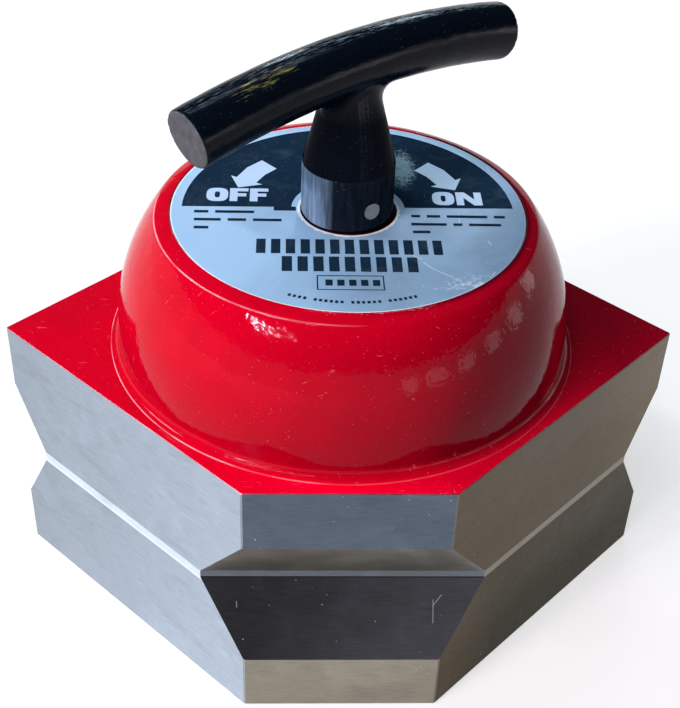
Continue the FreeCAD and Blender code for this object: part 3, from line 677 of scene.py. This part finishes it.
def black_enamel():
    """Gloss black on the bar, dull on the boss, a painted blue reflection on the skirt and bare at
    the ends.
    """
    finish, skin = new_finish("black_enamel", specular_ior_level=0.0, coat_roughness=0.07,
                              coat_ior=1.25)
    where = place_mm(finish)
    source = add(finish, "TexCoord").outputs["Object"]
    # the flat ends of the bar are rubbed down to the iron
    bend = (BAR_HALF ** 2 + BAR_DROP ** 2) / (2 * BAR_DROP)
    lean = math.asin(BAR_HALF / bend)
    ends = []
    for side in (-1, 1):
        turn = math.radians(BAR_ANGLE)
        facing = Vector((side * math.cos(lean) * math.cos(turn),
                         side * math.cos(lean) * math.sin(turn), -math.sin(lean)))
        reach = (facing.z * (BAR_HEIGHT - bend) + side * math.cos(lean) * BAR_SHIFT) * MM
        along = add(finish, "VectorMath", {0: source, 1: facing}, operation="DOT_PRODUCT")
        ends.append(span(finish, along.outputs["Value"], reach - 0.45 * MM, reach - 0.25 * MM))
    bare = maths(finish, "MAXIMUM", ends[0], ends[1])
    grit = clouds(finish, where, 0.35, 4.0)
    metal = steps(finish, grit, (0.3, (0.095, 0.10, 0.105)), (0.7, (0.14, 0.145, 0.15)))
    # a painted blue reflection runs down the left of the skirt
    parts = add(finish, "SeparateXYZ", {0: where}).outputs
    on_bar = span(finish, parts["Z"], 184.0, 192.0)
    skirt = span(finish, parts["Z"], SKIRT_TOP + 0.2, SKIRT_TOP - 0.2)
    left_side = span(finish, parts["X"], -5.0, -9.0, 0.02, 0.54)
    dusty = steps(finish, clouds(finish, where, 1.3, 2.0), (0.70, 0.0), (0.75, 1.0))
    black = blend(finish, maths(finish, "MULTIPLY", dusty, 0.4), BLACK, DUST_SPECK)
    runs = clouds(finish, place_mm(finish, (1.3, 1.3, 0.14)), 0.6, 3.0)
    haze_and_reflection = maths(finish, "MULTIPLY", left_side, span(finish, runs, 0.35, 0.65, 0.45, 1.0))
    black = blend(finish, maths(finish, "MULTIPLY", skirt, haze_and_reflection), black, BLUE_REFLECTION)
    # streaks follow the bar, and some carry a painted olive reflection on the left arm
    turned = place_mm(finish, turn=(0, 0, -math.radians(BAR_ANGLE)))
    long_waves = add(finish, "VectorMath", {0: turned, 1: (0.14, 1.5, 0.3)}, operation="MULTIPLY")
    streaks = clouds(finish, long_waves.outputs[0], 1.1, 6.0, 0.8)
    painted_light = span(finish, distance_to(finish, turned, REFLECTION_SPOT, (0.26, 1.2, 0)), 6.0, 2.0)
    olive_share = span(finish, maths(finish, "MULTIPLY_ADD", painted_light, 0.2, streaks), 0.72, 0.80)
    black = blend(finish, maths(finish, "MULTIPLY", olive_share, painted_light), black, OLIVE_REFLECTION)
    # a painted highlight lies where the bar faces up, thinner on the left arm
    upward = add(finish, "SeparateXYZ", {0: add(finish, "NewGeometry").outputs["Normal"]})
    crest = maths(finish, "MULTIPLY", on_bar, span(finish, upward.outputs["Z"], 0.94, 0.985))
    arm = add(finish, "SeparateXYZ", {0: turned}).outputs["X"]
    crest = maths(finish, "MULTIPLY", crest, span(finish, arm, -40.0, 10.0, 0.3, 1.0))
    dust_and_highlight = span(finish, streaks, 0.52, 0.62, 0.0, 0.9)
    black = blend(finish, maths(finish, "MULTIPLY", crest, dust_and_highlight), black, CREST_HIGHLIGHT)
    plug(finish, blend(finish, bare, black, metal), skin.inputs["Base Color"])
    plug(finish, span(finish, bare, 0, 1, 0.14, 0.55), skin.inputs["Roughness"])
    glossy = span(finish, on_bar, 0, 1, 0.11, 0.6)
    plug(finish, maths(finish, "MULTIPLY", glossy, span(finish, bare, 0, 1, 1.0, 0.0)),
         skin.inputs["Coat Weight"])
    lumps = clouds(finish, where, 0.16, 2.0)
    short_waves = add(finish, "VectorMath", {0: turned, 1: (0.4, 1.2, 1.2)}, operation="MULTIPLY")
    sparkle = clouds(finish, short_waves.outputs[0], 0.8, 3.0)
    rings = clouds(finish, place_mm(finish, (0.03, 0.03, 1.4)), 1.0, 2.0)
    brushed = maths(finish, "MULTIPLY_ADD", streaks, 0.6, sparkle)
    fine = blend(finish, on_bar, rings, brushed)
    bumps = maths(finish, "MULTIPLY_ADD", fine, 0.75, lumps)
    plug(finish, relief(finish, skin, bumps, 0.25, 0.35), skin.inputs["Coat Normal"])
    return finish


# %% Remesh and relax the handle
VOXEL, RELAX_ROUNDS, LUMP_DEPTH, LUMP_WAVE = 0.55, 3, 0.16, 7
bm = bmesh.new()
bm.from_mesh(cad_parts["handle"].data)
bmesh.ops.remove_doubles(bm, verts=bm.verts, dist=0.002 * MM)
raw = bpy.data.meshes.new("handle_raw")
bm.to_mesh(raw)
bm.free()
shell = bpy.data.objects.new("handle_shell", raw)
bpy.context.scene.collection.objects.link(shell)
voxels = shell.modifiers.new("even_faces", "REMESH")
voxels.mode = "VOXEL"
voxels.voxel_size = VOXEL * MM
even = bpy.data.meshes.new_from_object(shell.evaluated_get(bpy.context.evaluated_depsgraph_get()))
bpy.data.objects.remove(shell)
bm = bmesh.new()
bm.from_mesh(even)
for _ in range(RELAX_ROUNDS):
    bmesh.ops.smooth_vert(bm, verts=bm.verts, factor=0.5, use_axis_x=True, use_axis_y=True,
                          use_axis_z=True)
bm.normal_update()
ripple(bm, LUMP_DEPTH, LUMP_WAVE, seed=3.0)
grip = finish_piece(bm, "handle_casting", "turning_handle", black_enamel(), 60)
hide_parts("handle")

# %% [markdown]
# ## Ground steel
# The blocks were finished on a surface grinder: fine straight strokes along each face and a soft
# satin reflection. Light and shade are painted on, some faces darker than others. The strokes
# follow each face, so the shader takes the level direction along the face from its normal,
# and stretches a noise along it. The painted shade follows the normal as well: pale on the
# faces on the left, brown and dark on the right. Each main face has its own painted tone of
# light and shade, which may drift along the face, and painted shade on the right also damps its
# shallow reflection. Where the blocks meet the strip a highlight is painted as a bright line on
# the left, a shadow as a dark line in the joint at the front, and a few scratches have places
# of their own.

# %% Ground steel
LEFT, RIGHT, FRONT = (-1, -1, 0), (1, -1, 0), (0, -1, 0)
UNDERCUT, LEDGE = (0, -0.866, -0.5), (0, -0.866, 0.5)
LEFT_EDGE, RIGHT_EDGE, FRONT_EDGE = (-0.5, -0.5, 0.707), (0.5, -0.5, 0.707), (0, -0.707, 0.707)
STRIP_LEVEL = 48.4
WAVES_ALONG, WAVES_UP = 140.0, 3200.0
LIT_SIDE_STEEL, SCRATCHED_STEEL = (0.42, 0.43, 0.45), (0.42, 0.43, 0.44)


def ground_steel(name, lit_side_tone, painted_light, tones, dull=None, edge=None, scratches=()):
    """Satin steel with painted light and shade: pale on the left, painted dark on the right.

    tones: painted light and shade, (facing, colour) for single faces, then if needed (from X, to
    X, gain, gain).
    dull: (height, tint, height, tint), painted shade that damps the shallow reflection of the
    right face.
    edge: (facing, height, reach, colour) of a painted line where the steel meets the strip; a pale
    colour paints a highlight, a dark one a shadow.
    scratches: pairs of a start and an end, in millimetres.
    """
    finish, skin = new_finish(name, metallic=1.0, specular_ior_level=0.5)
    shape = add(finish, "NewGeometry")
    facing = shape.outputs["True Normal"]
    source = add(finish, "TexCoord").outputs["Object"]
    # the grinding strokes run level along each face
    level = add(finish, "VectorMath", {0: facing, 1: (0, 0, 1)}, operation="CROSS_PRODUCT")
    along = add(finish, "VectorMath", {0: source, 1: level.outputs[0]}, operation="DOT_PRODUCT")
    height = add(finish, "SeparateXYZ", {0: source}).outputs["Z"]
    strokes_at = add(finish, "CombineXYZ", {
        "X": maths(finish, "MULTIPLY", along.outputs["Value"], WAVES_ALONG),
        "Y": maths(finish, "MULTIPLY", height, WAVES_UP)})
    strokes = clouds(finish, strokes_at.outputs[0], 1.0, 4.0, 0.6)
    where = place_mm(finish)
    smudge = clouds(finish, where, 0.045, 4.0, 0.6, 0.9)
    fine = clouds(finish, where, 0.5, 3.0)
    # painted light and shade, by the way that a face looks
    across = add(finish, "SeparateXYZ", {0: facing}).outputs["X"]
    tone = blend(finish, span(finish, across, -0.3, 0.6), lit_side_tone, painted_light)
    side = add(finish, "SeparateXYZ", {0: where}).outputs["X"]

    def faces(direction):
        """A mask for the faces that look this way."""
        like = add(finish, "VectorMath", {0: facing, 1: Vector(direction).normalized()},
                   operation="DOT_PRODUCT").outputs["Value"]
        return span(finish, like, 0.90, 0.97)

    # each main face gets a painted tone of its light and shade, drifting along X where asked
    for direction, colour, *drift in tones:
        for limits in drift:
            gain = span(finish, side, *limits)
            colour = add(finish, "VectorMath", {0: colour, "Scale": gain},
                         operation="SCALE").outputs[0]
        tone = blend(finish, faces(direction), tone, colour)
    # painted shade: the reflection of the right face is damped towards its bottom
    if dull:
        low, low_tint, high, high_tint = dull
        damped = blend(finish, span(finish, height, low * MM, high * MM), low_tint, high_tint)
        plug(finish, blend(finish, faces(RIGHT), (1.0, 1.0, 1.0), damped),
             skin.inputs["Specular Tint"])
    # strokes, smudges, stains and flecks over the tone
    shade = blend(finish, span(finish, strokes, 0.3, 0.7, 0.0, 0.34), tone, (0.12, 0.12, 0.12),
                  "MULTIPLY")
    shade = blend(finish, span(finish, smudge, 0.45, 0.7, 0.0, 0.3), shade, (0.80, 0.83, 0.85),
                  "SOFT_LIGHT")
    stain = clouds(finish, place_mm(finish, (0.5, 0.5, 1.4)), 0.07, 5.0, 0.65)
    shade = blend(finish, span(finish, stain, 0.52, 0.66, 0.0, 0.22), shade, (0.45, 0.46, 0.48),
                  "MULTIPLY")
    flecks = steps(finish, clouds(finish, where, 0.8, 2.0), (0.765, 0.0), (0.78, 1.0))
    shade = blend(finish, maths(finish, "MULTIPLY", flecks, 0.6), shade, (0.75, 0.75, 0.72))
    # a painted line where the steel meets the strip: a highlight in a pale colour, a shadow in a
    # dark one
    if edge:
        towards, level, reach, colour = edge
        away = maths(finish, "ABSOLUTE", maths(finish, "SUBTRACT", height, level * MM))
        line = maths(finish, "MULTIPLY", faces(towards),
                     span(finish, away, reach * MM, (reach - 0.12) * MM))
        shade = blend(finish, line, shade, colour)
    for start, end in scratches:
        shade = blend(finish, scratch(finish, where, start, end), shade, SCRATCHED_STEEL)
    plug(finish, shade, skin.inputs["Base Color"])
    rough = maths(finish, "ADD", span(finish, smudge, 0.3, 0.7, 0.33, 0.40),
                  span(finish, fine, 0.3, 0.7, -0.03, 0.03))
    plug(finish, rough, skin.inputs["Roughness"])
    relief(finish, skin, strokes, 0.012, 0.5)
    return finish


# painted light and shade: each face gets the brightness and tint of the light and reflection it
# shows
upper_steel = ground_steel("upper_steel", LIT_SIDE_STEEL, (0.17, 0.145, 0.105), [
    (LEFT, (0.396, 0.468, 0.543), (-110.0, -36.0, 0.90, 1.17)),
    (RIGHT, (0.083, 0.060, 0.031), (85.0, 112.0, 1.0, 1.5)),
    (FRONT, (0.106, 0.134, 0.174)), (UNDERCUT, (0.386, 0.358, 0.307)),
    (LEFT_EDGE, (0.75, 0.38, 0.44)), (RIGHT_EDGE, (0.42, 0.16, 0.18)),
    (FRONT_EDGE, (0.42, 0.10, 0.13)),
], dull=(65.0, (0.88, 0.89, 0.87), 88.0, (1.0, 1.0, 1.0)), scratches=(
    ((13.6, -76.6, 65.3), (17.1, -76.6, 65.3)), ((13.5, -76.9, 66.0), (13.6, -76.6, 65.3)),
    ((17.1, -76.6, 65.3), (17.2, -77.0, 66.2)),
))
# painted light and shade for each face
lower_steel = ground_steel("lower_steel", LIT_SIDE_STEEL, (0.11, 0.095, 0.07), [
    (LEFT, (0.415, 0.492, 0.568), (-105.0, -36.0, 0.85, 1.14)),
    (RIGHT, (0.027, 0.017, 0.008), (36.0, 56.0, 2.4, 1.0)),
    (FRONT, (0.301, 0.273, 0.218)), (LEDGE, (0.046, 0.047, 0.053), (-30.0, 30.0, 0.75, 1.60)),
], dull=(15.0, (0.75, 0.77, 0.735), 40.0, (0.94, 0.93, 0.88)),
    # a painted highlight line on the left where the block meets the strip
    edge=(LEFT, STRIP_LEVEL, 0.95, (0.80, 0.90, 0.94)), scratches=(
    ((30.4, -72.5, 41.7), (30.5, -76.5, 34.7)), ((30.4, -73.5, 39.9), (33.2, -71.6, 43.2)),
    ((-35.4, -72.8, 41.2), (-35.3, -73.8, 39.4)), ((11.0, -76.2, 35.3), (11.2, -76.3, 35.0)),
))
# painted light and shade for each face, and a painted shadow line in the joint at the front
strip_metal = ground_steel("strip_aluminium", (0.80, 0.83, 0.85), (0.40, 0.37, 0.31), [
    (LEFT, (0.78, 0.91, 0.97)), (RIGHT, (0.22, 0.20, 0.16)),
    (FRONT, (0.14, 0.16, 0.18)),
], edge=(FRONT, STRIP_LEVEL, 0.6, (0.008, 0.011, 0.014)))


def dress(node, finish):
    """Give a CAD node its finish."""
    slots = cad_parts[node].data.materials
    slots.clear()
    slots.append(finish)
    print("dressed", node, "with", finish.name)


dress("upper_pole_block", upper_steel)
dress("lower_pole_block", lower_steel)
dress("spacer_plate", strip_metal)

# %% [markdown]
# ## Fasteners and the works inside
# The pin through the boss is turned steel, and so are the screws. Inside are cast magnets,
# soft iron, brass and bronze. Their finishes are simple: one metal, with the rings or the
# grain of how it was made.

# %% Turned and cast metals
def turned_metal(name, colour, rough, ring_scale, metallic=1.0, depth=0.01):
    """Metal with fine grain, a little tarnish and tool rings."""
    finish, skin = new_finish(name, metallic=metallic)
    where = place_mm(finish)
    tarnish = clouds(finish, where, 0.12, 4.0, 0.6, 0.5)
    rings = clouds(finish, place_mm(finish, (0.2, 0.2, 1.0)), ring_scale, 3.0)
    darker = tuple(0.7 * part for part in colour)
    plug(finish, blend(finish, span(finish, tarnish, 0.3, 0.7), colour, darker),
         skin.inputs["Base Color"])
    plug(finish, span(finish, rings, 0.3, 0.7, rough - 0.06, rough + 0.08),
         skin.inputs["Roughness"])
    relief(finish, skin, rings, depth, 0.5)
    return finish


inner_metals = {
    turned_metal("pin_steel", (0.52, 0.53, 0.52), 0.42, 1.2): (
        "handle_cross_pin", "spindle", "clamp_screws", "dome_screws", "locating_dowels",
        "rotor_plate_screws", "spindle_keys", "segment_keys", "stop_pin"),
    turned_metal("soft_iron", (0.34, 0.35, 0.37), 0.42, 0.7): (
        "upper_pole_segment", "lower_pole_segment", "rotor_shoe_north", "rotor_shoe_south"),
    turned_metal("brass", (0.72, 0.53, 0.22), 0.32, 0.8): (
        "upper_isolating_sleeve", "lower_isolating_sleeve", "pole_packers", "rotor_cheeks",
        "rotor_top_plate", "rotor_bottom_plate"),
    turned_metal("bronze", (0.58, 0.36, 0.18), 0.45, 0.9): (
        "upper_bush", "lower_bush", "upper_thrust_washer", "lower_thrust_washer"),
    turned_metal("magnet_alloy", (0.24, 0.24, 0.26), 0.55, 0.3, depth=0.05): ("rotor_magnets",),
    turned_metal("rubber", (0.02, 0.02, 0.02), 0.7, 0.5, metallic=0.0): ("spindle_seal",),
}
for finish, nodes in inner_metals.items():
    for node in nodes:
        dress(node, finish)

# %% [markdown]
# ## Floor and light
# The object stands on a plain pale floor, with a low pale wall far round it as a backdrop.
# Two windows on the left are the key: a long narrow one gives the enamel its red, a large cool
# one higher up lights the label. A thin one behind draws the line on top of the bar. Small
# panes make the reflections that gloss paint shows: a mottled spot on the left of the dome, a
# row of soft squares on the right, and a glow on steel that faces back. The floor shines only
# for the camera and for reflections, so it looks white and still keeps the shadow.

# %% Floor
FLOOR_RADIUS, WALL_HEIGHT, FLOOR_GAP = 6.0, 1.5, 0.0002
bm = bmesh.new()
bmesh.ops.create_circle(bm, cap_ends=True, segments=128, radius=FLOOR_RADIUS)
wall = bmesh.ops.extrude_edge_only(bm, edges=bm.edges[:])
wall_top = [item for item in wall["geom"] if isinstance(item, bmesh.types.BMVert)]
bmesh.ops.translate(bm, vec=(0, 0, WALL_HEIGHT), verts=wall_top)
mesh = bpy.data.meshes.new("floor")
bm.to_mesh(mesh)
bm.free()
floor = bpy.data.objects.new("floor", mesh)
floor.location.z = -FLOOR_GAP
bpy.context.scene.collection.objects.link(floor)
paper, skin = new_finish("pale_paper", base_color=(0.50, 0.485, 0.47, 1), roughness=0.9,
                         specular_ior_level=0.1)
mesh.materials.append(paper)
path = add(paper, "LightPath")
seen = maths(paper, "MAXIMUM", path.outputs["Is Camera Ray"],
             maths(paper, "MAXIMUM", path.outputs["Is Glossy Ray"],
                   path.outputs["Is Transmission Ray"]))
skin.inputs["Emission Color"].default_value = (1, 1, 1, 1)
reach = distance_to(paper, add(paper, "TexCoord").outputs["Object"], (0, 0, 0))
plug(paper, maths(paper, "MULTIPLY", seen, span(paper, reach, 0.6, 3.0, 0.58, 0.95)),
     skin.inputs["Emission Strength"])
print("floor radius m:", FLOOR_RADIUS, "wall m:", WALL_HEIGHT)


# %% Lamps and surroundings
def window(name, place, aim, wide, high, power, colour):
    """A rectangular soft lamp that looks at a point."""
    lamp = bpy.data.lights.new(name, "AREA")
    lamp.shape = "RECTANGLE"
    lamp.size, lamp.size_y = wide, high
    lamp.energy = power
    lamp.color = colour
    holder = bpy.data.objects.new(name, lamp)
    holder.location = place
    holder.rotation_mode = "QUATERNION"
    holder.rotation_quaternion = (Vector(aim) - Vector(place)).to_track_quat("-Z", "Y")
    holder.visible_camera = False
    bpy.context.scene.collection.objects.link(holder)
    print(name, "power W:", power)


window("left_window", (-1.7, -1.9, 3.5), (0, 0, 0.1), 2.4, 0.16, 78, (0.97, 0.98, 1.0))
window("high_window", (-3.1, 0.8, 3.0), (0, 0, 0.1), 1.3, 0.9, 88, (0.80, 0.90, 1.0))
window("back_window", (0.2, 2.0, 3.6), (0, 0, 0.2), 1.6, 0.1, 14, (0.70, 0.86, 1.0))


PANE_DISTANCE, DOME_CENTRE = 4, Vector((0, 0, 0.14))


def pane(name, azimuth, elevation, wide, high, power, colour):
    """A small lamp far off that faces the dome; azimuth and elevation in degrees."""
    turn, rise = math.radians(azimuth), math.radians(elevation)
    away = Vector((math.cos(turn) * math.cos(rise), math.sin(turn) * math.cos(rise),
                   math.sin(rise)))
    window(name, away * PANE_DISTANCE + DOME_CENTRE, DOME_CENTRE, wide, high, power, colour)


for number, spot in enumerate(((80, 24, 0.40, 0.09, 9), (97, 21, 0.30, 0.09, 8))):
    pane("back_pane_%d" % number, *spot, (0.70, 0.88, 1.0))
for number, spot in enumerate((
        (-144.5, 29.5, 0.09, 0.15, 16), (-140, 28.5, 0.13, 0.22, 34), (-136, 29.0, 0.10, 0.18, 20),
        (-132, 27.5, 0.14, 0.18, 18), (-127, 28.5, 0.10, 0.16, 8), (-121, 27.5, 0.09, 0.13, 4))):
    pane("left_pane_%d" % number, *spot, (1.0, 0.84, 1.0))
for number, azimuth in enumerate((-60, -47, -31, -15, 2, 20)):
    pane("right_pane_%d" % number, azimuth, 2.5 + number * 0.3, 0.60, 0.54, 4.0, (1.0, 0.82, 0.86))

world = bpy.data.worlds.new("studio")
bpy.context.scene.world = world
world.use_nodes = True
direction = add(world, "TexCoord").outputs["Generated"]
parts = add(world, "SeparateXYZ", {0: direction})
overhead = span(world, parts.outputs["Z"], 0.1, 1.0)
leftward = span(world, parts.outputs["X"], 0.6, -0.9)
level_ring = blend(world, leftward, (0.02, 0.018, 0.016), (0.14, 0.15, 0.17))
sky = blend(world, overhead, level_ring, (0.08, 0.12, 0.16))
backdrop = world.node_tree.nodes["Background"]
plug(world, sky, backdrop.inputs["Color"])
backdrop.inputs["Strength"].default_value = 0.8

# %% [markdown]
# ## Close
# Nothing that was added may make the object larger than its CAD model. Colours stay
# plain with the Standard view.

# %% Finish
bpy.context.scene.view_settings.view_transform = "Standard"
